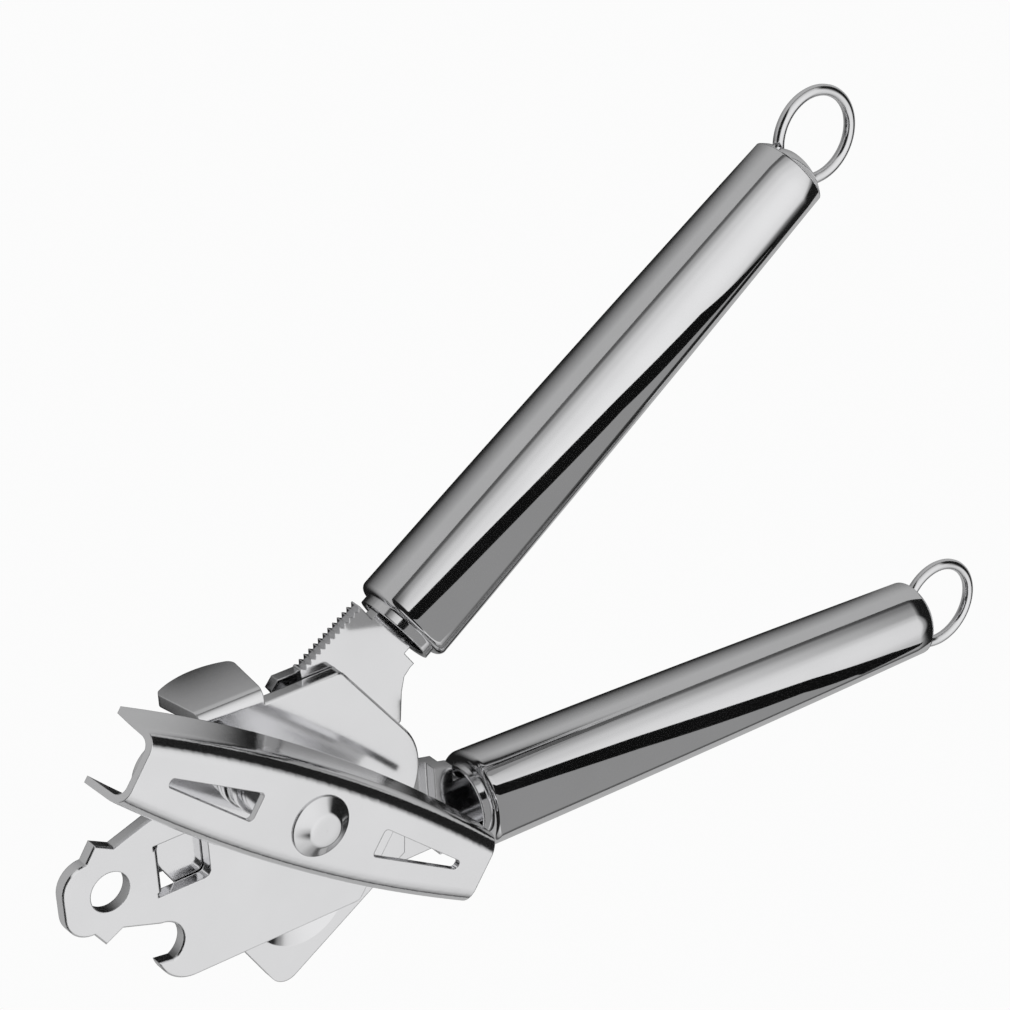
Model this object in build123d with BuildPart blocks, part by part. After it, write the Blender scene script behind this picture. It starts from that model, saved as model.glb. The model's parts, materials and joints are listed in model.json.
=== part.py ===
from build123d import *
import os
from math import atan2, cos, degrees, hypot, radians, sin

# Manual can opener, open as far as it goes, lying with its turning key upwards.
# Origin: centre of the hanging hole in the nose, on the front face of the nose plate.
# +X runs from the nose towards the handles, +Z is the plate normal on the key's side.

# ---------------------------------------------------------------- driving dimensions (mm)
SHEET = 2.2                     # lever plate thickness
SLIDE_GAP = 0.3                 # gap between plates that slide on each other
NOSE_TOP = 0.0
NOSE_BACK = NOSE_TOP - SHEET
CUT_TOP = NOSE_BACK - SLIDE_GAP
CUT_BACK = CUT_TOP - SHEET
TANG_TOP = CUT_BACK - SLIDE_GAP
TANG_BACK = TANG_TOP - SHEET
HANDLE_RISE = 1.0               # handle axes lie this far above the middle of their tangs
HANDLE_Z = (CUT_TOP + CUT_BACK) / 2 + HANDLE_RISE

PIVOT = (44.9, -0.9)
FEED = (27.6, 10.7)
OPEN_ANGLE = 31.3               # upper lever's turn from closed to the rest pose
PIVOT_R = 3.0
RUN_FIT = 0.05                  # radial running clearance
PRESS_R = 2.6                   # radius of riveted seats

FEED_SHAFT_R = 3.1
FEED_WHEEL_R = 10.0
FEED_TEETH = 30
FEED_TOP = -5.0
FEED_THICK = 2.0

CUTTER = (-16.55, -2.1)         # in the upper lever's own frame, from the pivot
CUTTER_R = 9.35
CUTTER_TOP = -7.5
CUTTER_THICK = 2.3
DISH = (-16.6, -9.9)            # pressed dish in the cutter plate, same frame
DISH_R = 9.4
DISH_FLOOR_R = 4.5
DISH_DEPTH = 2.4

KEY_ANGLE = -36.3
KEY_TOP = 20.0
KEY_SHEET = 1.2
KEY_DROP = 8.8
KEY_BEND = 3.2
KEY_HALF_LENGTH = 37.6
KEY_HALF_WIDTH = 8.6            # half widths of the top face with its bends
KEY_HALF_END = 6.1

TUBE_LENGTH = 101.0
TUBE_R_MOUTH = 8.7
TUBE_R_END = 7.0
TUBE_WALL = 0.8
LOWER_MOUTH = (70.9, -14.1)
LOWER_ANGLE = -1.5
UPPER_MOUTH = (26.2, 14.7)      # in the upper lever's own frame
UPPER_ANGLE = 2.2
TUBE_BULGE = 0.2
MOUTH_ROLL = 1.4                # radius of the rolled mouth
COLLAR_R = TUBE_R_MOUTH - MOUTH_ROLL - 0.3
COLLAR_WALL = 0.9
COLLAR_OUT = 1.5                # how far the mouth collar stands out of the tube
NECK_GAP = 2.9                  # from a lever's neck to the mouth
TANG_WIDTH = 10.4
TANG_ROOT = -6.0
TANG_REACH = 20.0
CAP_DOME = 2.9
CAP_SHELL = 1.1
CAP_SKIRT = 6.0
RING_R = 7.9
RING_WIRE = 1.0
RING_OUT = 8.1                  # ring centre beyond the tube's end
EYE_OUT = 2.1                   # eye pin's axis beyond the tube's end
EYE_R = 0.6

# ---------------------------------------------------------------- frames
TURN = radians(OPEN_ANGLE)
LEVER = Plane(origin=(*PIVOT, 0), x_dir=(cos(TURN), sin(TURN), 0), z_dir=(0, 0, 1))
FEED_AXIS = Plane(origin=(*FEED, 0))
PIVOT_AXIS = Plane(origin=(*PIVOT, 0))
KEY_TURN = radians(KEY_ANGLE)
KEY = Plane(origin=(*FEED, 0), x_dir=(cos(KEY_TURN), sin(KEY_TURN), 0), z_dir=(0, 0, 1))


def on_lever(point):
    """A point of the upper lever's own frame, in the row frame."""
    return (PIVOT[0] + point[0] * cos(TURN) - point[1] * sin(TURN),
            PIVOT[1] + point[0] * sin(TURN) + point[1] * cos(TURN))


CUTTER_AXIS = Plane(origin=(*on_lever(CUTTER), 0))
DISH_AXIS = Plane(origin=(*on_lever(DISH), 0))


def handle_frame(mouth, angle):
    """Plane across a handle's mouth: +Z along the tube, +X to the tube's left, +Y up."""
    a = radians(angle)
    return Plane(origin=(mouth[0], mouth[1], HANDLE_Z), x_dir=(-sin(a), cos(a), 0), z_dir=(cos(a), sin(a), 0))


LOWER = handle_frame(LOWER_MOUTH, LOWER_ANGLE)
UPPER = handle_frame(on_lever(UPPER_MOUTH), UPPER_ANGLE + OPEN_ANGLE)


def tang_plane(mouth, angle):
    """Flat plane of a handle tang, +X along the handle, at the tang's top face."""
    a = radians(angle)
    return Plane(origin=(mouth[0], mouth[1], CUT_TOP), x_dir=(cos(a), sin(a), 0), z_dir=(0, 0, 1))


def polar(radius, angle):
    return (radius * cos(radians(angle)), radius * sin(radians(angle)))


def finish(part, name):
    part.label = name
    export_step(part, f"parts/{name}.step")


def disc(plane, low, high, radius, bore=0.0):
    """Round disc or washer about a plane's Z axis, between two heights."""
    with BuildPart() as body:
        with BuildSketch(plane.offset(low)):
            Circle(radius)
            if bore > 0:
                Circle(bore, mode=Mode.SUBTRACT)
        extrude(amount=high - low)
    return body


os.makedirs("parts", exist_ok=True)

# ---------------------------------------------------------------- nose plate
NOSE_HOLE_R = 3.57
NOSE_END = -8.4
NOSE_HALF = 6.75
NOSE_CORNER = 4.8
FLANGE_OUT = 24.8
FLANGE_IN = FLANGE_OUT - SHEET
SIDE_Y = 22.4
BUSH_R = 4.2
WINDOW_X = (8.4, 18.4)
WINDOW_HALF = 4.9
TAB_HALF = 4.0
TAB_BEND = 7.2
TAB_FACE = 9.4
TAB_END = 17.1
TAB_BACK = TANG_TOP - 2.0

with BuildPart() as nose_plate:
    with BuildSketch(Plane.XY.offset(NOSE_BACK)):
        with BuildLine():
            end = Line((NOSE_END, 0), (NOSE_END, NOSE_HALF - NOSE_CORNER))
            corner = RadiusArc(end @ 1, (NOSE_END + NOSE_CORNER, NOSE_HALF), NOSE_CORNER)
            edge = Polyline(corner @ 1, (-1.7, 9.45), (1.6, 7.7), (8.4, 10.0))
            bay = ThreePointArc(edge @ 1, (12.2, 14.2), (10.0, 17.6))
            tip = Line(bay @ 1, (7.2, 17.2))
            brow = ThreePointArc(tip @ 1, (9.3, 20.7), (14.0, SIDE_Y))
            side = Polyline(brow @ 1, (46.2, SIDE_Y), (57.6, 6.9))
            ThreePointArc(side @ 1, (59.4, 3.4), (59.9, 0))
            mirror(about=Plane.XZ)
        make_face()
    extrude(amount=SHEET)
    plate_corners = nose_plate.edges().filter_by(Axis.Z).filter_by(lambda e: 45 < e.center().X < 58)
    fillet(plate_corners, 1.6)
    nose_rim = nose_plate.faces().sort_by(Axis.Z)[-1].edges()
    chamfer(nose_rim, 0.3)
    with BuildSketch(Plane.XY.offset(NOSE_BACK)):
        Circle(NOSE_HOLE_R)
        with Locations(((WINDOW_X[0] + WINDOW_X[1]) / 2, 0)):
            window = Rectangle(WINDOW_X[1] - WINDOW_X[0], 2 * WINDOW_HALF)
        fillet(window.vertices().group_by(Axis.X)[-1], 1.2)
        with Locations(FEED):
            Circle(BUSH_R)
        with Locations(PIVOT):
            Circle(PIVOT_R)
    extrude(amount=SHEET, mode=Mode.SUBTRACT)
    # side flange, folded down at the upper edge of the plate
    with BuildSketch(Plane.XZ.offset(-FLANGE_OUT)):
        with BuildLine():
            foot = Polyline((31.3, NOSE_TOP), (19.4, NOSE_TOP), (17.6, -10.6))
            hem = ThreePointArc(foot @ 1, (25.4, -13.0), (32.6, -11.4))
            Line(hem @ 1, foot @ 0)
        make_face()
    extrude(amount=SHEET)
    with BuildSketch(Plane.XY.offset(NOSE_BACK)):
        with Locations((25.35, (SIDE_Y - 2 + FLANGE_OUT) / 2)):
            Rectangle(11.9, FLANGE_OUT - SIDE_Y + 2)
    extrude(amount=SHEET)
    fillet(nose_plate.edges().filter_by(lambda e: e.center().Y > FLANGE_OUT - 0.1 and e.center().Z > -0.1), 1.9)
    fillet(nose_plate.edges().filter_by(Axis.Y).filter_by(lambda e: e.center().Z < -9), 1.6)
    # guide tab that holds the cutter plate, bent back out of the window
    with BuildSketch(Plane.XZ.offset(-TAB_HALF)):
        with BuildLine():
            Polyline((TAB_BEND, NOSE_TOP), (TAB_FACE, NOSE_TOP), (TAB_FACE, TANG_TOP), (TAB_END, TANG_TOP),
                     (TAB_END, TAB_BACK), (TAB_BEND, TAB_BACK), close=True)
        make_face()
    extrude(amount=2 * TAB_HALF)
    fillet(nose_plate.edges().filter_by(Axis.Y).filter_by(
        lambda e: abs(e.center().X - TAB_FACE) < 0.05 and e.center().Z > -0.1), 0.95)
    tab_corners = nose_plate.edges().filter_by(Axis.Z).filter_by(lambda e: abs(e.center().X - TAB_END) < 0.05)
    fillet(tab_corners, 1.6)
    fillet(nose_plate.edges().filter_by(Axis.Y).filter_by(
        lambda e: abs(e.center().X - TAB_BEND) < 0.05 and e.center().Z < -5), 1.2)
finish(nose_plate.part, "nose_plate")

# ---------------------------------------------------------------- lower lever's back plate with its tang
JOGGLE_X = 64.3
NECK_END = LOWER_MOUTH[0] - NECK_GAP

with BuildPart() as back_plate:
    with BuildSketch(Plane.XY.offset(TANG_BACK)):
        with BuildLine():
            throat = ThreePointArc((37.0, 1.5), (38.85, 11.4), (35.6, 20.6))
            rim = Polyline(throat @ 1, (37.0, 22.2), (46.2, 22.2), (59.0, 4.3), (61.5, -4.2), (66.5, -5.4), (66.5, -22.3),
                           (50.8, -22.3), (49.9, -17.4), (39.4, -2.7), throat @ 0)
        make_face()
    extrude(amount=SHEET)
    fillet(back_plate.edges().filter_by(Axis.Z).filter_by(
        lambda e: e.center().X > 45 and e.center().X < 63), 1.0)
    with BuildSketch(Plane.XY.offset(TANG_BACK)):
        with BuildLine():
            Polyline((JOGGLE_X, -4.9), (66.5, -5.4), (66.5, -22.3), (JOGGLE_X, -22.3), close=True)
        make_face()
    extrude(amount=CUT_TOP - TANG_BACK)
    with BuildSketch(Plane.XY.offset(CUT_BACK)):
        with BuildLine():
            Polyline((JOGGLE_X, -4.9), (66.5, -5.4), (NECK_END, -5.8), (NECK_END, -22.3), (JOGGLE_X, -22.3),
                     close=True)
        make_face()
    extrude(amount=SHEET)
    with BuildSketch(tang_plane(LOWER_MOUTH, LOWER_ANGLE)):
        with Locations(((TANG_REACH + TANG_ROOT) / 2, 0)):
            Rectangle(TANG_REACH - TANG_ROOT, TANG_WIDTH)
    extrude(amount=-SHEET)
    with BuildSketch(PIVOT_AXIS.offset(TANG_BACK)):
        Circle(PIVOT_R)
    extrude(amount=SHEET, mode=Mode.SUBTRACT)
    chamfer(back_plate.faces().sort_by(Axis.Z)[0].outer_wire().edges(), 0.25)
finish(back_plate.part, "back_plate")

# spacer welded between the two lower plates, outside the cutter plate's sweep
SPACER_AT = (56.2, -5.0)
lever_spacer = disc(Plane(origin=(*SPACER_AT, 0)), TANG_TOP, NOSE_BACK, 1.9)
finish(lever_spacer.part, "lever_spacer")

# ---------------------------------------------------------------- upper lever's cutter plate
NOTCH_R = 9.6
SLOT_R = hypot(FEED[0] - PIVOT[0], FEED[1] - PIVOT[1])
SLOT_ANGLE = degrees(atan2(FEED[1] - PIVOT[1], FEED[0] - PIVOT[0]))
SLOT_HALF = FEED_SHAFT_R + 0.7
TOP_X = -29.5
LEFT_Y = 22.0
RIGHT_Y = -21.6
GRIP_Y = 23.8
GRIP_START = 8.9
GRIP_TEETH = 12
GRIP_PITCH = 1.15
GRIP_DEPTH = 0.8
FINGER_X = -13.0
FINGER_Y = (SLOT_R + SLOT_HALF) ** 2 - FINGER_X ** 2

with BuildPart() as cutter_plate:
    with BuildSketch(LEVER.offset(CUT_BACK)):
        with BuildLine():
            lower = Polyline((TOP_X, RIGHT_Y), (1.3, RIGHT_Y), (5.0, -16.5), polar(NOTCH_R, -66))
            notch = ThreePointArc(lower @ 1, polar(NOTCH_R, -37), polar(NOTCH_R, -8))
            neck = Polyline(notch @ 1, (15.6, -0.3), (18.9, 4.0), (20.9, 5.9), (22.6, 6.3), (23.6, 6.3),
                            (22.9, GRIP_Y), (8.6, GRIP_Y), (6.2, 18.4), polar(SLOT_R - SLOT_HALF, 95))
            inner = ThreePointArc(neck @ 1, polar(SLOT_R - SLOT_HALF, 120), polar(SLOT_R - SLOT_HALF, SLOT_ANGLE))
            slot_end = ThreePointArc(
                inner @ 1,
                (polar(SLOT_R, SLOT_ANGLE)[0] - SLOT_HALF * sin(radians(SLOT_ANGLE)),
                 polar(SLOT_R, SLOT_ANGLE)[1] + SLOT_HALF * cos(radians(SLOT_ANGLE))),
                polar(SLOT_R + SLOT_HALF, SLOT_ANGLE))
            outer = ThreePointArc(slot_end @ 1, polar(SLOT_R + SLOT_HALF, 133), (FINGER_X, FINGER_Y ** 0.5))
            Polyline(outer @ 1, (FINGER_X, LEFT_Y), (TOP_X, LEFT_Y), (TOP_X, RIGHT_Y))
        make_face()
    extrude(amount=SHEET)
    with BuildSketch(tang_plane(on_lever(UPPER_MOUTH), UPPER_ANGLE + OPEN_ANGLE)):
        with Locations(((TANG_REACH + TANG_ROOT) / 2, 0)):
            Rectangle(TANG_REACH - TANG_ROOT, TANG_WIDTH)
    extrude(amount=-SHEET)
    lever_edges = cutter_plate.edges().filter_by(Axis.Z)
    top_left = lever_edges.sort_by_distance((*on_lever((TOP_X, LEFT_Y)), HANDLE_Z))[0]
    top_right = lever_edges.sort_by_distance((*on_lever((TOP_X, RIGHT_Y)), HANDLE_Z))[0]
    fillet(top_left, 5.0)
    fillet(top_right, 3.2)
    # jar-grip teeth along the neck's outer edge
    with BuildSketch(LEVER.offset(CUT_BACK)):
        with Locations(*[(GRIP_START + i * GRIP_PITCH, GRIP_Y) for i in range(GRIP_TEETH)]):
            Polygon((0, 0.1), (GRIP_PITCH / 2, -GRIP_DEPTH), (GRIP_PITCH, 0.1), align=None)
    extrude(amount=SHEET, mode=Mode.SUBTRACT)
    # pressed dish: a shallow cone pushed out to the back
    with BuildSketch(DISH_AXIS.offset(CUT_BACK - DISH_DEPTH)):
        Circle(DISH_FLOOR_R)
    with BuildSketch(DISH_AXIS.offset(CUT_BACK)):
        Circle(DISH_R)
    loft()
    with BuildSketch(DISH_AXIS.offset(CUT_TOP - DISH_DEPTH)):
        Circle(DISH_FLOOR_R)
    with BuildSketch(DISH_AXIS.offset(CUT_TOP)):
        Circle(DISH_R)
    loft(mode=Mode.SUBTRACT)
    with BuildSketch(PIVOT_AXIS.offset(CUT_BACK)):
        Circle(PIVOT_R + RUN_FIT)
    extrude(amount=SHEET, mode=Mode.SUBTRACT)
    with BuildSketch(CUTTER_AXIS.offset(CUT_BACK - DISH_DEPTH)):
        Circle(PRESS_R)
    extrude(amount=SHEET + DISH_DEPTH, mode=Mode.SUBTRACT)
finish(cutter_plate.part, "cutter_plate")

# ---------------------------------------------------------------- pivot rivet and its washer
WASHER_T = 0.6
PIVOT_END = TANG_BACK - WASHER_T

with BuildPart() as pivot_rivet:
    with BuildSketch(PIVOT_AXIS.offset(PIVOT_END)):
        Circle(PIVOT_R)
    extrude(amount=NOSE_TOP - PIVOT_END)
    with BuildSketch(PIVOT_AXIS.offset(PIVOT_END - 0.8)):
        Circle(PIVOT_R + 0.3)
    extrude(amount=0.8)
    with BuildSketch(PIVOT_AXIS.offset(NOSE_TOP)):
        Circle(PIVOT_R + 1.8)
    extrude(amount=0.9)
    fillet(pivot_rivet.edges().group_by(Axis.Z)[-1], 0.6)
    fillet(pivot_rivet.edges().group_by(Axis.Z)[0], 0.4)
    with BuildSketch(PIVOT_AXIS.offset(PIVOT_END - 0.8)):
        Circle(1.8)
    extrude(amount=4.0, mode=Mode.SUBTRACT)
    chamfer(pivot_rivet.edges().group_by(Axis.Z)[0].sort_by(SortBy.RADIUS)[0], 0.35)
finish(pivot_rivet.part, "pivot_rivet")

pivot_washer = disc(PIVOT_AXIS, PIVOT_END, TANG_BACK, 4.8, PIVOT_R)
finish(pivot_washer.part, "pivot_washer")

# ---------------------------------------------------------------- cutting wheel on its stud
SHOULDER_R = 3.4
HEAD_TOP = CUTTER_TOP - CUTTER_THICK - 0.3
HEAD_THICK = 0.9

with BuildPart() as cutter_stud:
    with BuildSketch(CUTTER_AXIS.offset(HEAD_TOP)):
        Circle(PIVOT_R)
    extrude(amount=CUTTER_TOP + 0.3 - HEAD_TOP)
    with BuildSketch(CUTTER_AXIS.offset(CUTTER_TOP + 0.3)):
        Circle(SHOULDER_R)
    extrude(amount=CUT_BACK - CUTTER_TOP - 0.3)
    with BuildSketch(CUTTER_AXIS.offset(HEAD_TOP - HEAD_THICK - 0.5)):
        Circle(PRESS_R)
    extrude(amount=CUT_TOP - HEAD_TOP + HEAD_THICK + 0.5)
    fillet(cutter_stud.edges().group_by(Axis.Z)[0], 0.5)
    # the shoulder is cut to sit on the dish's sloping wall
    with BuildSketch(DISH_AXIS.offset(CUT_BACK - DISH_DEPTH)):
        Circle(DISH_FLOOR_R)
    with BuildSketch(DISH_AXIS.offset(CUT_BACK)):
        Circle(DISH_R)
    loft(mode=Mode.SUBTRACT)
    with BuildSketch(CUTTER_AXIS.offset(HEAD_TOP)):
        Circle(PRESS_R)
    extrude(amount=CUT_TOP - HEAD_TOP)
finish(cutter_stud.part, "cutter_stud")

with BuildPart() as cutting_wheel:
    with BuildSketch(Plane(origin=CUTTER_AXIS.origin, x_dir=(1, 0, 0), z_dir=(0, -1, 0))):
        with BuildLine():
            low = CUTTER_TOP - CUTTER_THICK
            Polyline((PIVOT_R + RUN_FIT, CUTTER_TOP), (CUTTER_R - 0.4, CUTTER_TOP), (CUTTER_R, CUTTER_TOP - 0.25),
                     (CUTTER_R - 1.9, low), (PIVOT_R + RUN_FIT, low), close=True)
        make_face()
    revolve(axis=Axis(CUTTER_AXIS.origin, (0, 0, 1)))
finish(cutting_wheel.part, "cutting_wheel")

with BuildPart() as cutter_washer:
    with BuildSketch(CUTTER_AXIS.offset(HEAD_TOP - HEAD_THICK)):
        Circle(4.8)
        Circle(PRESS_R, mode=Mode.SUBTRACT)
    extrude(amount=HEAD_THICK)
    chamfer(cutter_washer.edges().group_by(Axis.Z)[0].sort_by(SortBy.RADIUS)[-1], 0.3)
finish(cutter_washer.part, "cutter_washer")

# ---------------------------------------------------------------- feed wheel, shaft and bearing
SHAFT_END = FEED_TOP - FEED_THICK - 1.0
TOOTH_ROOT = 8.2
FLANGE_T = 1.4
THRUST_T = 0.9
SLEEVE_LOW = FLANGE_T + THRUST_T + 0.3
KEY_UNDER = KEY_TOP - KEY_SHEET
CAP_TOP = KEY_TOP + 1.8

with BuildPart() as feed_wheel:
    with BuildSketch(FEED_AXIS.offset(FEED_TOP - FEED_THICK)):
        Circle(TOOTH_ROOT)
        with PolarLocations(0, FEED_TEETH):
            Polygon((TOOTH_ROOT - 0.4, -0.75), (FEED_WHEEL_R, -0.2), (FEED_WHEEL_R, 0.2), (TOOTH_ROOT - 0.4, 0.75),
                    align=None)
        Circle(PRESS_R, mode=Mode.SUBTRACT)
    extrude(amount=FEED_THICK)
finish(feed_wheel.part, "feed_wheel")

with BuildPart() as feed_shaft:
    with BuildSketch(FEED_AXIS.offset(SHAFT_END)):
        Circle(PRESS_R)
    extrude(amount=CAP_TOP - SHAFT_END)
    with BuildSketch(FEED_AXIS.offset(SHAFT_END)):
        Circle(FEED_SHAFT_R)
    extrude(amount=1.0)
    fillet(feed_shaft.edges().group_by(Axis.Z)[0], 0.5)
    with BuildSketch(FEED_AXIS.offset(FEED_TOP)):
        Circle(FEED_SHAFT_R)
    extrude(amount=KEY_UNDER - FEED_TOP)
finish(feed_shaft.part, "feed_shaft")

with BuildPart() as feed_bushing:
    with BuildSketch(FEED_AXIS.offset(NOSE_BACK)):
        Circle(BUSH_R)
    extrude(amount=SHEET)
    with BuildSketch(FEED_AXIS.offset(NOSE_TOP)):
        Circle(BUSH_R + 1.6)
    extrude(amount=FLANGE_T)
    chamfer(feed_bushing.edges().group_by(Axis.Z)[-1], 0.4)
    with BuildSketch(FEED_AXIS.offset(NOSE_BACK)):
        Circle(FEED_SHAFT_R + RUN_FIT)
    extrude(amount=SHEET + FLANGE_T, mode=Mode.SUBTRACT)
finish(feed_bushing.part, "feed_bushing")

thrust_washer = disc(FEED_AXIS, FLANGE_T, FLANGE_T + THRUST_T, 5.0, FEED_SHAFT_R + 0.4)
finish(thrust_washer.part, "thrust_washer")

with BuildPart() as key_sleeve:
    with BuildSketch(FEED_AXIS.offset(SLEEVE_LOW)):
        Circle(4.6)
        Circle(FEED_SHAFT_R, mode=Mode.SUBTRACT)
    extrude(amount=KEY_UNDER - SLEEVE_LOW)
    with BuildSketch(FEED_AXIS.offset(SLEEVE_LOW)):
        Circle(5.4)
        Circle(FEED_SHAFT_R, mode=Mode.SUBTRACT)
    extrude(amount=1.6)
finish(key_sleeve.part, "key_sleeve")

# ---------------------------------------------------------------- turning key
EYE_NEAR = 13.2
EYE_FAR = 31.6
EYE_HALF = 2.5
EYE_TIP = 0.75
KEY_LEVELS = {0: (0, 0, 0), KEY_DROP / 2: (0.05, 0.2, 0.4), KEY_DROP: (0.1, 0.8, 1.1)}


def key_outline(drop, inset, over):
    """Boat-shaped outline of the key, drop below its top face.

    Each long side flares out towards its own leading end, so the key looks the same turned half round.
    """
    reach = KEY_HALF_LENGTH + over
    spread = (KEY_HALF_WIDTH - KEY_HALF_END) * (reach / KEY_HALF_LENGTH) ** 2
    trailing, middle, leading = KEY_LEVELS[drop]
    slope = (leading - trailing) / 2 * over / KEY_HALF_LENGTH
    start = KEY_HALF_WIDTH - spread + leading + slope - inset
    stop = KEY_HALF_WIDTH - spread + trailing - slope - inset
    side = KEY_HALF_WIDTH + middle - inset
    with BuildSketch(KEY.offset(KEY_TOP - drop - (inset if drop == 0 else 0))) as outline:
        with BuildLine():
            upper = ThreePointArc((-reach, start), (0, side), (reach, stop))
            right = Line(upper @ 1, (reach, -start))
            lower = ThreePointArc(right @ 1, (0, -side), (-reach, -stop))
            Line(lower @ 1, upper @ 0)
        make_face()
    return outline.sketch


def long_edges(body, height):
    """The two long edges of a key body at a height."""
    return body.edges().filter_by(lambda e: abs(e.center().Z - height) < 0.05 and e.length > 40)


with BuildPart() as key_core:
    loft([key_outline(drop, KEY_SHEET, 5) for drop in KEY_LEVELS])
    fillet(long_edges(key_core, KEY_UNDER), KEY_BEND - KEY_SHEET)

with BuildPart() as turning_key:
    loft([key_outline(drop, 0, 1.9 * drop / KEY_DROP) for drop in KEY_LEVELS])
    fillet(long_edges(turning_key, KEY_TOP), KEY_BEND)
    add(key_core.part, mode=Mode.SUBTRACT)
    with BuildSketch(KEY.offset(KEY_UNDER)) as key_eyes:
        Polygon((EYE_NEAR, EYE_HALF), (EYE_FAR, EYE_TIP), (EYE_FAR, -EYE_TIP), (EYE_NEAR, -EYE_HALF), align=None)
        fillet(key_eyes.vertices(), 0.7)
        mirror(about=Plane.YZ)
        Circle(PRESS_R)
    extrude(amount=KEY_SHEET, mode=Mode.SUBTRACT)
finish(turning_key.part, "turning_key")

with BuildPart() as key_cap:
    with BuildSketch(FEED_AXIS.offset(KEY_TOP)):
        Circle(5.3)
    extrude(amount=0.35)
    with BuildSketch(FEED_AXIS.offset(KEY_TOP + 0.35)):
        Circle(5.1)
    with BuildSketch(FEED_AXIS.offset(CAP_TOP + 0.2)):
        Circle(2.6)
    loft()
    with BuildSketch(FEED_AXIS.offset(KEY_TOP)):
        Circle(PRESS_R)
    extrude(amount=2.0, mode=Mode.SUBTRACT)
finish(key_cap.part, "key_cap")


# ---------------------------------------------------------------- handles, the same on both levers
def along(frame):
    """Plane holding a handle's axis: +X across the tube, +Y along it."""
    return Plane(origin=frame.origin, x_dir=frame.x_dir, z_dir=(0, 0, -1))


def at(frame, distance):
    """A point on a handle's axis."""
    return frame.origin + frame.z_dir * distance


def handle_tube(frame):
    """Tapered tube with its mouth rolled in onto the collar."""
    middle = (TUBE_R_MOUTH + TUBE_R_END) / 2 + TUBE_BULGE
    sagitta = MOUTH_ROLL * (1 - sin(radians(45)))
    roll_middle = (TUBE_R_MOUTH - sagitta, sagitta)
    with BuildPart() as tube:
        with BuildSketch(along(frame)):
            with BuildLine():
                roll = ThreePointArc((TUBE_R_MOUTH - MOUTH_ROLL, 0), roll_middle, (TUBE_R_MOUTH, MOUTH_ROLL))
                skin = ThreePointArc(roll @ 1, (middle, TUBE_LENGTH / 2), (TUBE_R_END, TUBE_LENGTH))
                end = Line(skin @ 1, (TUBE_R_END - TUBE_WALL, TUBE_LENGTH))
                bore = ThreePointArc(end @ 1, (middle - TUBE_WALL, TUBE_LENGTH / 2),
                                     (TUBE_R_MOUTH - TUBE_WALL, MOUTH_ROLL))
                Polyline(bore @ 1, (COLLAR_R, MOUTH_ROLL), (COLLAR_R, 0), roll @ 0)
            make_face()
        revolve(axis=Axis(frame.origin, frame.z_dir))
    return tube


def mouth_collar(frame):
    """Ring that stands out of the mouth, with a slotted web inside that grips the tang."""
    with BuildPart() as collar:
        with BuildSketch(frame.offset(-COLLAR_OUT)):
            Circle(COLLAR_R)
            Circle(COLLAR_R - COLLAR_WALL, mode=Mode.SUBTRACT)
        extrude(amount=COLLAR_OUT + 7)
        fillet(collar.edges().sort_by_distance(at(frame, -COLLAR_OUT))[:2], 0.4)
        with BuildSketch(frame.offset(5.5)):
            Circle(COLLAR_R - COLLAR_WALL / 2)
            with Locations((0, -HANDLE_RISE)):
                Rectangle(TANG_WIDTH, SHEET, mode=Mode.SUBTRACT)
        extrude(amount=1.5)
    return collar


def end_cap(frame):
    """Domed cap with its skirt in the tube and a slot that the ring swings in."""
    skirt_r = TUBE_R_END - TUBE_WALL
    dome_r = (TUBE_R_END ** 2 + CAP_DOME ** 2) / 2 / CAP_DOME
    inner_r = dome_r - CAP_SHELL
    dome_at = CAP_DOME - dome_r
    with BuildPart() as cap:
        with BuildSketch(along(frame).shift_origin(at(frame, TUBE_LENGTH))):
            with BuildLine():
                crown = ThreePointArc((TUBE_R_END, 0),
                                      (dome_r * sin(radians(20)), dome_at + dome_r * cos(radians(20))),
                                      (0, CAP_DOME))
                drop = Line(crown @ 1, (0, CAP_DOME - CAP_SHELL))
                rim_y = dome_at + (inner_r ** 2 - (skirt_r - CAP_SHELL) ** 2) ** 0.5
                roof = ThreePointArc(drop @ 1,
                                     (inner_r * sin(radians(15)), dome_at + inner_r * cos(radians(15))),
                                     (skirt_r - CAP_SHELL, rim_y))
                Polyline(roof @ 1, (skirt_r - CAP_SHELL, -CAP_SKIRT), (skirt_r, -CAP_SKIRT), (skirt_r, 0), crown @ 0)
            make_face()
        revolve(axis=Axis(frame.origin, frame.z_dir))
        with BuildSketch(frame.offset(TUBE_LENGTH - 0.3)):
            with Locations((0, -HANDLE_RISE)):
                Rectangle(11.8, 4.8)
        extrude(amount=CAP_DOME + 1, mode=Mode.SUBTRACT)
    return cap


def ring_eye(frame):
    """Pin across the cap's slot, inside the ring."""
    with BuildPart() as eye:
        with BuildSketch(Plane(origin=at(frame, TUBE_LENGTH + EYE_OUT)).offset(-HANDLE_RISE - 2.4)):
            Circle(EYE_R)
        extrude(amount=4.8)
    return eye


def hang_ring(frame):
    """Wire ring lying in the plane of the levers."""
    with BuildPart() as ring:
        with Locations(at(frame, TUBE_LENGTH + RING_OUT) - Vector(0, 0, HANDLE_RISE)):
            Torus(RING_R, RING_WIRE)
    return ring


for side, frame in (("lower", LOWER), ("upper", UPPER)):
    finish(handle_tube(frame).part, f"{side}_handle_tube")
    finish(mouth_collar(frame).part, f"{side}_mouth_collar")
    finish(end_cap(frame).part, f"{side}_end_cap")
    finish(ring_eye(frame).part, f"{side}_ring_eye")
    finish(hang_ring(frame).part, f"{side}_hang_ring")
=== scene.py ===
"""Studio scene of the manual can opener: camera, light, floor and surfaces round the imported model."""

import json
from math import cos, pi, radians, sin

import bmesh
import bpy
from mathutils import Matrix, Vector


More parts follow.
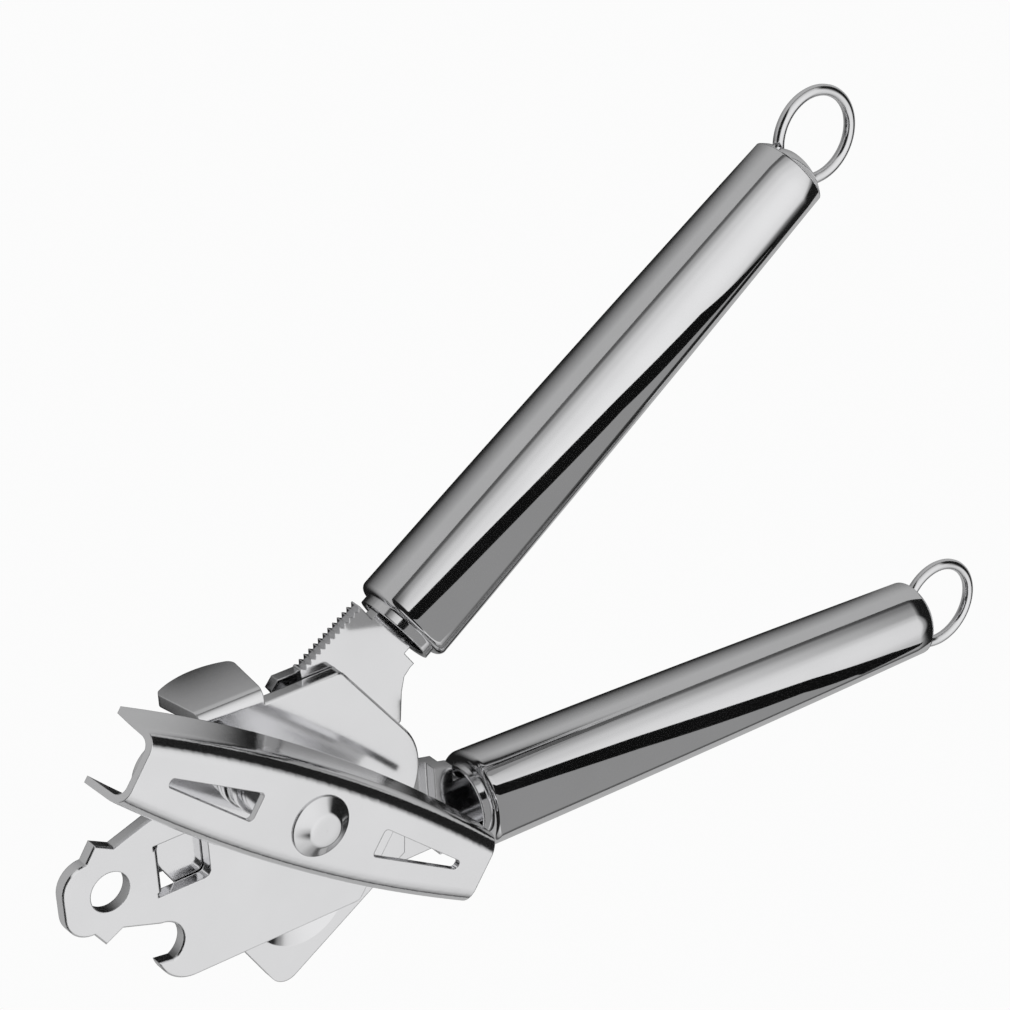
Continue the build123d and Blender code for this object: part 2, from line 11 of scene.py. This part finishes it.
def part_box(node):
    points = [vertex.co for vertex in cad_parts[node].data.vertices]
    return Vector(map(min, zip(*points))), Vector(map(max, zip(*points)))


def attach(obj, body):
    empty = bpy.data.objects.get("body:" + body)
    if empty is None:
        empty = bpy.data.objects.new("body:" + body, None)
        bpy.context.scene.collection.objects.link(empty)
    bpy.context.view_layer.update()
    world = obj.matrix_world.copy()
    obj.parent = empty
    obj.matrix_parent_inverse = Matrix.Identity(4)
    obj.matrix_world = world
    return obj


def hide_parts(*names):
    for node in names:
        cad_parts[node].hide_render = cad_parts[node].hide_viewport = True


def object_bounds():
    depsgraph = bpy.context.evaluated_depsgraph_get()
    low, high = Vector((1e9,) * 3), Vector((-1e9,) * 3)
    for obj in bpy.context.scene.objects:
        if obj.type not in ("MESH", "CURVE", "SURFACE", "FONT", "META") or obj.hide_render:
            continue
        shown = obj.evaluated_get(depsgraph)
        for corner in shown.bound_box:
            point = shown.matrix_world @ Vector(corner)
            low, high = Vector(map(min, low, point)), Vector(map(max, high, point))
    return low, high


MM = 0.001
UP = Vector((0, 0, 1))
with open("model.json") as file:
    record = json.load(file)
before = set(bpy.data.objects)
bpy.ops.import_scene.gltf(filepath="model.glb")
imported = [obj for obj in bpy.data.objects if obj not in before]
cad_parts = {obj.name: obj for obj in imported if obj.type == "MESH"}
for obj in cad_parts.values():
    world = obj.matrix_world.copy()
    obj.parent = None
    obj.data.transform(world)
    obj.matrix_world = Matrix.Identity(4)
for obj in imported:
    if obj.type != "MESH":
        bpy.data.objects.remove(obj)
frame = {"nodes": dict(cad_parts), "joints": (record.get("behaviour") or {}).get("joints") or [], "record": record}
cad_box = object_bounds()
nodes = frame["nodes"]
joints = {joint["name"]: joint for joint in frame["joints"]}
scene = bpy.context.scene
scene.view_settings.view_transform = "Standard"


# ---------------------------------------------------------------- helpers
def add_object(name, data):
    """Object in the scene, from a mesh, a camera or a light."""
    made = bpy.data.objects.new(name, data)
    scene.collection.objects.link(made)
    return made


def add_node(tree, kind, inputs=None, **settings):
    """Adds a shader node; an input is a value, or an output socket to link from."""
    made = tree.nodes.new(kind)
    for name, value in settings.items():
        setattr(made, name, value)
    for name, value in (inputs or {}).items():
        if isinstance(value, bpy.types.NodeSocket):
            tree.links.new(value, made.inputs[name])
        else:
            made.inputs[name].default_value = value
    return made


def add_ramp(tree, factor, stops):
    """Colour ramp of grey stops, as (position, brightness)."""
    ramp = add_node(tree, "ShaderNodeValToRGB", {"Fac": factor})
    ramp.color_ramp.interpolation = "EASE"
    elements = ramp.color_ramp.elements
    while len(elements) < len(stops):
        elements.new(0.5)
    for element, (position, grey) in zip(elements, stops):
        element.position = position
        element.color = (grey, grey, grey, 1)
    return ramp.outputs["Color"]


def bare_material(name):
    """Material with an empty node tree."""
    material = bpy.data.materials.new(name)
    material.use_nodes = True
    material.node_tree.nodes.clear()
    return material


def glow(tree, colour):
    """Makes a bare material shine evenly; colour is a value or an output socket."""
    light = add_node(tree, "ShaderNodeEmission", {"Color": colour, "Strength": 1.0})
    output = add_node(tree, "ShaderNodeOutputMaterial")
    tree.links.new(light.outputs["Emission"], output.inputs["Surface"])


def reflection_only(tree, shown, reflected):
    """Mixes two colours: one for what the camera and soft light see, one for reflections."""
    glossy = add_node(tree, "ShaderNodeLightPath").outputs["Is Glossy Ray"]
    mix = add_node(tree, "ShaderNodeMix", {"Factor": glossy}, data_type="RGBA")
    mix.inputs["A"].default_value = shown
    tree.links.new(reflected, mix.inputs["B"])
    return mix.outputs["Result"]


# ---------------------------------------------------------------- camera
CAMERA_AT = Vector((-0.20675, 0.30800, 0.41123))
CAMERA_RIGHT = Vector((0.80393, -0.04902, 0.59271))
CAMERA_UP = Vector((0.31411, 0.88126, -0.35316))
CAMERA_LENS = 123.23            # mm, on the default 36 mm sensor
CAMERA_NEAR = 0.01


def add_camera():
    """The photograph's viewpoint."""
    data = bpy.data.cameras.new("camera")
    data.lens = CAMERA_LENS
    data.clip_start = CAMERA_NEAR
    camera = add_object("camera", data)
    back = CAMERA_RIGHT.cross(CAMERA_UP)
    turn = Matrix((CAMERA_RIGHT, CAMERA_UP, back)).transposed()
    camera.matrix_world = Matrix.Translation(CAMERA_AT) @ turn.to_4x4()
    scene.camera = camera


# ---------------------------------------------------------------- room and floor
# Brightness of the reflected sky, as (height, grey), where 0 is straight down, 0.5 level and 1 straight up.
OPEN_SKY = [
    (0.00, 0.30), (0.475, 0.30), (0.50, 0.08), (0.54, 0.10),
    (0.60, 0.35), (0.75, 0.62), (0.86, 0.74), (1.00, 0.84)]
DARK_SKY = [
    (0.00, 0.10), (0.40, 0.06), (0.48, 0.01), (0.79, 0.01),
    (0.83, 0.30), (0.87, 0.66), (0.93, 0.76), (1.00, 0.84)]
NOSE_SKY = [
    (0.00, 0.10), (0.44, 0.05), (0.49, 0.01), (0.87, 0.01),
    (0.91, 0.50), (0.95, 0.80), (0.98, 0.84), (1.00, 0.84)]
DARK_SIDE = (0.56, 0.75)        # X of the direction over which the open sky changes to the dark one
NOSE_SIDE = (-0.38, -0.55)
SKY_SEEN = (0.93, 0.93, 0.935, 1)


def add_studio():
    """A pale room with grey bands and two darker sides in reflections, as cards round a table make them."""
    world = bpy.data.worlds.new("studio")
    scene.world = world
    world.use_nodes = True
    tree = world.node_tree
    tree.nodes.clear()
    direction = add_node(tree, "ShaderNodeTexCoord").outputs["Generated"]
    split = add_node(tree, "ShaderNodeSeparateXYZ", {"Vector": direction})
    level = add_node(tree, "ShaderNodeMapRange", {
        "Value": split.outputs["Z"], "From Min": -1.0, "From Max": 1.0}).outputs["Result"]
    sky = add_ramp(tree, level, OPEN_SKY)
    for stops, (start, end) in ((DARK_SKY, DARK_SIDE), (NOSE_SKY, NOSE_SIDE)):
        side = add_node(tree, "ShaderNodeMapRange", {
            "Value": split.outputs["X"], "From Min": start, "From Max": end}, interpolation_type="SMOOTHSTEP")
        mix = add_node(tree, "ShaderNodeMix", {"Factor": side.outputs["Result"]}, data_type="RGBA")
        tree.links.new(sky, mix.inputs["A"])
        tree.links.new(add_ramp(tree, level, stops), mix.inputs["B"])
        sky = mix.outputs["Result"]
    colour = reflection_only(tree, SKY_SEEN, sky)
    background = add_node(tree, "ShaderNodeBackground", {"Color": colour, "Strength": 1.0})
    output = add_node(tree, "ShaderNodeOutputWorld")
    tree.links.new(background.outputs["Background"], output.inputs["Surface"])


FLOOR_HALF = 3.0                # m
FLOOR_GAP = 0.05 * MM
PAPER_SEEN = (0.97, 0.97, 0.97, 1)
PAPER_OPEN = 0.42               # brightness of the open floor in reflections
PAPER_SHADED = 0.01             # and where the opener shades it
SHADE_REACH = 22 * MM
FULL_SHADE = 0.45               # openness of the floor at and below which it is fully shaded
NO_SHADE = 0.97


def add_floor():
    """Plain pale floor just under the lowest point of the opener, darker near it in reflections."""
    level = cad_box[0][2] - FLOOR_GAP
    mesh = bpy.data.meshes.new("floor")
    corners = [(-1, -1), (1, -1), (1, 1), (-1, 1)]
    mesh.from_pydata([(x * FLOOR_HALF, y * FLOOR_HALF, level) for x, y in corners], [], [(0, 1, 2, 3)])
    floor = add_object("floor", mesh)
    material = bare_material("floor_paper")
    tree = material.node_tree
    openness = add_node(tree, "ShaderNodeAmbientOcclusion", {"Distance": SHADE_REACH}, samples=16)
    shade = add_node(tree, "ShaderNodeMapRange", {
        "Value": openness.outputs["AO"], "From Min": FULL_SHADE, "From Max": NO_SHADE,
        "To Min": PAPER_SHADED, "To Max": PAPER_OPEN})
    glow(tree, reflection_only(tree, PAPER_SEEN, shade.outputs["Result"]))
    mesh.materials.append(material)


# ---------------------------------------------------------------- lamp
LAMP_AT = Vector((-0.5, 0.7, 1.1))
LAMP_AIM = Vector((0.08, 0.01, 0))
LAMP_SIZE = 1.2
LAMP_POWER = 4


def add_lamp():
    """Square soft box that faces the opener and isn't seen in its reflections."""
    data = bpy.data.lights.new("key_light", "AREA")
    data.size = LAMP_SIZE
    data.energy = LAMP_POWER
    lamp = add_object("key_light", data)
    lamp.location = LAMP_AT
    lamp.rotation_euler = (LAMP_AIM - LAMP_AT).to_track_quat("-Z", "Y").to_euler()
    lamp.visible_glossy = False


# ---------------------------------------------------------------- cards above the handles
RING_HINGE = 101.2 * MM         # a ring's hinge, from the handle's mouth
HANDLE_RISE = 1.0 * MM          # a handle's axis lies this far above its ring
FLAG_HEIGHT = 14 * MM
FLAG_BLACK = (0.004, 0.004, 0.004, 1)
FLAG_GREY = (0.27, 0.27, 0.27, 1)
# In mm: distance along the handle, then across it where the black card starts, where the grey one takes over
# and where that ends.
FLAG_EDGES = {
    "upper": [
        (-5, 15, 8, -5), (11, 11, 4.5, -23), (31, 6.5, 1, -25), (52, 2.5, -3.5, -26),
        (73, -2.5, -13, -27), (96, -17.5, -27, -28)],
    "lower": [
        (-4, 15, 8, -6), (15, 11, 5, -37), (35, 7.5, 1.5, -39), (55, 3.5, -3, -42),
        (76, -0.5, -8, -44), (98, -7, -22, -46), (112, -13.5, -40, -48)],
}


def handle_axes(side):
    """Mouth centre of a handle, its direction and the direction across it, from its ring's hinge."""
    hinge = joints[f"{side}_ring_swing"]
    across = Vector(hinge["axis"])
    along = Vector((across.y, -across.x, 0))
    mouth = Vector(hinge["pos_m"]) - along * RING_HINGE + UP * HANDLE_RISE
    return mouth, along, across


def add_flag(side):
    """Black and grey cards above a handle, seen only in reflections, where they draw its long dark stripe."""
    mouth, along, across = handle_axes(side)
    bm = bmesh.new()
    rows = []
    for distance, *places in FLAG_EDGES[side]:
        foot = mouth + along * distance * MM + UP * FLAG_HEIGHT
        rows.append([bm.verts.new(foot + across * place * MM) for place in places])
    for row, following in zip(rows, rows[1:]):
        for k in (0, 1):
            face = bm.faces.new((row[k], row[k + 1], following[k + 1], following[k]))
            face.material_index = k
    mesh = bpy.data.meshes.new(f"{side}_flag")
    bm.to_mesh(mesh)
    bm.free()
    for tone, colour in (("black", FLAG_BLACK), ("grey", FLAG_GREY)):
        material = bare_material(f"{side}_flag_{tone}")
        glow(material.node_tree, colour)
        mesh.materials.append(material)
    flag = add_object(f"{side}_flag", mesh)
    flag.visible_camera = False
    flag.visible_diffuse = False
    flag.visible_shadow = False


# ---------------------------------------------------------------- surfaces
EDGE_RADIUS = 0.3 * MM
GRAIN_SCALE = (40, 900, 900)    # long along X, fine across
LINE_DETAIL = {"Scale": 4.0, "Detail": 4.0}
SMEAR_DETAIL = {"Scale": 55.0, "Detail": 5.0, "Roughness": 0.6}
SMEAR_TONE = {"From Min": 0.3, "From Max": 0.7, "To Min": 0.96, "To Max": 1.0}
ROUGH_FROM = {"From Min": 0.1, "From Max": 0.45}
ROUGH_LEAST = 0.8               # times the steel's own roughness
ROUGH_MOST = 1.35
LINE_BUMP = {"Strength": 0.02, "Distance": 0.02 * MM}


def steel(name, colour, roughness, grain=0.0, soft_edges=True):
    """Polished stainless steel with faint smears, fine polishing lines and a slight unevenness.

    grain turns the polishing lines about Z, in degrees; soft_edges rounds sharp corners in the shading.
    """
    material = bpy.data.materials.new(name)
    material.use_nodes = True
    tree = material.node_tree
    shader = tree.nodes["Principled BSDF"]
    shader.inputs["Metallic"].default_value = 1.0
    place = add_node(tree, "ShaderNodeTexCoord").outputs["Object"]
    turned = add_node(
        tree, "ShaderNodeVectorRotate", {"Vector": place, "Angle": -radians(grain)}, rotation_type="Z_AXIS")
    drawn = add_node(tree, "ShaderNodeMapping", {"Vector": turned.outputs["Vector"], "Scale": GRAIN_SCALE})
    streaks = add_node(tree, "ShaderNodeTexNoise", {"Vector": drawn.outputs["Vector"], **LINE_DETAIL})
    lines = streaks.outputs["Fac"]
    smears = add_node(tree, "ShaderNodeTexNoise", {"Vector": place, **SMEAR_DETAIL}).outputs["Fac"]
    tone = add_node(tree, "ShaderNodeMapRange", {"Value": smears, **SMEAR_TONE})
    base = add_node(tree, "ShaderNodeVectorMath", {0: colour}, operation="SCALE")
    tree.links.new(tone.outputs["Result"], base.inputs["Scale"])
    tree.links.new(base.outputs["Vector"], shader.inputs["Base Color"])
    both = add_node(tree, "ShaderNodeMath", {0: lines, 1: smears}, operation="MULTIPLY")
    rough = add_node(tree, "ShaderNodeMapRange", {
        "Value": both.outputs["Value"], **ROUGH_FROM,
        "To Min": roughness * ROUGH_LEAST, "To Max": roughness * ROUGH_MOST})
    tree.links.new(rough.outputs["Result"], shader.inputs["Roughness"])
    bump = add_node(tree, "ShaderNodeBump", {"Height": lines, **LINE_BUMP})
    if soft_edges:
        edge = add_node(tree, "ShaderNodeBevel", {"Radius": EDGE_RADIUS}, samples=6)
        tree.links.new(edge.outputs["Normal"], bump.inputs["Normal"])
    tree.links.new(bump.outputs["Normal"], shader.inputs["Normal"])
    return material


LOOKS = {
    "plate": steel("plate_steel", (0.93, 0.93, 0.94), 0.10),
    "handle": steel("handle_steel", (0.92, 0.92, 0.93), 0.10),
    "upper_handle": steel("upper_handle_steel", (0.92, 0.92, 0.93), 0.07, grain=33.5, soft_edges=False),
    "lower_handle": steel("lower_handle_steel", (0.92, 0.92, 0.93), 0.07, grain=-1.5, soft_edges=False),
    "wheel": steel("wheel_steel", (0.78, 0.78, 0.79), 0.16),
    "rivet": steel("rivet_steel", (0.90, 0.90, 0.91), 0.12),
    "wire": steel("wire_steel", (0.92, 0.92, 0.93), 0.08),
}
SLOT_LOOKS = {
    "plate_steel": "plate", "handle_steel": "handle", "wheel_steel": "wheel", "rivet_steel": "rivet",
    "ring_wire": "wire"}


def paint(node, material):
    """Puts a material on a CAD node."""
    mesh = nodes[node].data
    mesh.materials.clear()
    mesh.materials.append(material)


# ---------------------------------------------------------------- smooth round pieces, profiles in mm
LATHE_STEPS = 160
SHARP_ANGLE = 32                # degrees between faces that stay sharp in the shading
TUBE_LENGTH = 101.0
TUBE_R_MOUTH = 8.7
TUBE_R_MIDDLE = 8.05
TUBE_R_END = 7.0
TUBE_WALL = 0.8
TUBE_STEPS = 32
EDGE_EASE = 0.25
MOUTH_ROLL = 1.4
LIP_R = 7.0
RING_OUT = 109.1                # a ring's centre, from the handle's mouth
RING_R = 7.9
RING_WIRE = 1.0
WIRE_STEPS = 16
CAP_FLAT_R = 2.6
CAP_RIM = 0.36
CAP_HOLLOW = 0.3
NEAR_AXIS = 0.02


def arc(centre, radius, start, stop, steps):
    """Points of an arc in (radius, along) space; angles in degrees."""
    turns = [radians(start + (stop - start) * i / steps) for i in range(steps + 1)]
    return [(centre[0] + radius * cos(turn), centre[1] + radius * sin(turn)) for turn in turns]


def lathe(profile, origin, axis, spoke):
    """Closed profile of (radius, along) points, turned about an axis."""
    bm = bmesh.new()
    side = axis.cross(spoke)
    rings = []
    for step in range(LATHE_STEPS):
        turn = 2 * pi * step / LATHE_STEPS
        out = spoke * cos(turn) + side * sin(turn)
        rings.append([bm.verts.new(origin + (out * radius + axis * place) * MM) for radius, place in profile])
    for ring, following in zip(rings, rings[1:] + rings[:1]):
        for i in range(len(profile)):
            k = (i + 1) % len(profile)
            bm.faces.new((ring[i], ring[k], following[k], following[i]))
    return bm


def add_piece(name, bm, body, slot, look, *replaced):
    """Finishes a round piece: smooth shading, material, body and the CAD nodes it stands for; slot is not used."""
    mesh = bpy.data.meshes.new(name)
    bmesh.ops.recalc_face_normals(bm, faces=bm.faces)
    bm.to_mesh(mesh)
    bm.free()
    mesh.shade_smooth()
    mesh.set_sharp_from_angle(angle=radians(SHARP_ANGLE))
    piece = add_object(name, mesh)
    mesh.materials.append(LOOKS[look])
    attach(piece, body)
    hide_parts(*replaced)


def tube_radius(place):
    """Outer radius of a handle tube: a taper with a slight belly."""
    t = place / TUBE_LENGTH
    belly = 4 * t * (1 - t) * (TUBE_R_MIDDLE - (TUBE_R_MOUTH + TUBE_R_END) / 2)
    return TUBE_R_MOUTH + (TUBE_R_END - TUBE_R_MOUTH) * t + belly


def add_tube(side):
    """Tapered handle tube with its mouth rolled in and its far edge eased."""
    mouth, along, across = handle_axes(side)
    roll = arc((TUBE_R_MOUTH - MOUTH_ROLL, MOUTH_ROLL), MOUTH_ROLL, -90, 0, 8)[:-1]
    straight = TUBE_LENGTH - EDGE_EASE - MOUTH_ROLL
    places = [MOUTH_ROLL + straight * step / TUBE_STEPS for step in range(TUBE_STEPS + 1)]
    skin = [(tube_radius(place), place) for place in places]
    edge = arc((TUBE_R_END - EDGE_EASE, TUBE_LENGTH - EDGE_EASE), EDGE_EASE, 0, 90, 2)[1:]
    bore = [(TUBE_R_END - TUBE_WALL, TUBE_LENGTH), (TUBE_R_MOUTH - TUBE_WALL, MOUTH_ROLL)]
    lip = [(LIP_R, MOUTH_ROLL), (LIP_R, 0.0)]
    bm = lathe(roll + skin + edge + bore + lip, mouth, along, across)
    add_piece(f"{side}_tube", bm, f"{side}_lever", "handle_steel", f"{side}_handle", f"{side}_handle_tube")


def add_ring(side):
    """Polished wire ring, closed all the way round."""
    mouth, along, across = handle_axes(side)
    centre = mouth + along * RING_OUT * MM - UP * HANDLE_RISE
    wire = arc((RING_R, 0.0), RING_WIRE, 0, 360, WIRE_STEPS)[:-1]
    bm = lathe(wire, centre, UP, across)
    add_piece(f"{side}_ring_wire", bm, f"{side}_ring", "ring_wire", "wire", f"{side}_hang_ring")


def add_rivet_cap():
    """Pressed cap on the turning key: a rounded cone with a flat top."""
    low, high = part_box("key_cap")
    foot = Vector(((low[0] + high[0]) / 2, (low[1] + high[1]) / 2, low[2]))
    outer = (high[0] - low[0]) / 2 / MM
    tall = (high[2] - low[2]) / MM
    rim = [(outer, 0.0), (outer, 0.2), (outer - 0.06, 0.3), (outer - 0.2, CAP_RIM)]
    shoulder = [(CAP_FLAT_R + 0.5, tall - 0.26), (CAP_FLAT_R + 0.22, tall - 0.08)]
    top = [(CAP_FLAT_R - 0.1, tall), (CAP_FLAT_R - 1.4, tall), (NEAR_AXIS, tall)]
    under = [(NEAR_AXIS, CAP_HOLLOW), (outer - 0.6, 0.0)]
    bm = lathe(rim + shoulder + top + under, foot, UP, Vector((1, 0, 0)))
    add_piece("rivet_cap", bm, "key_drive", "rivet_steel", "rivet", "key_cap")


# ---------------------------------------------------------------- the scene
for part in frame["record"]["subparts"]:
    paint(part["node"], LOOKS[SLOT_LOOKS[part["material_slot"]]])

for handle in ("upper", "lower"):
    add_tube(handle)
    add_ring(handle)
    add_flag(handle)
add_rivet_cap()
add_camera()
add_studio()
add_floor()
add_lamp()
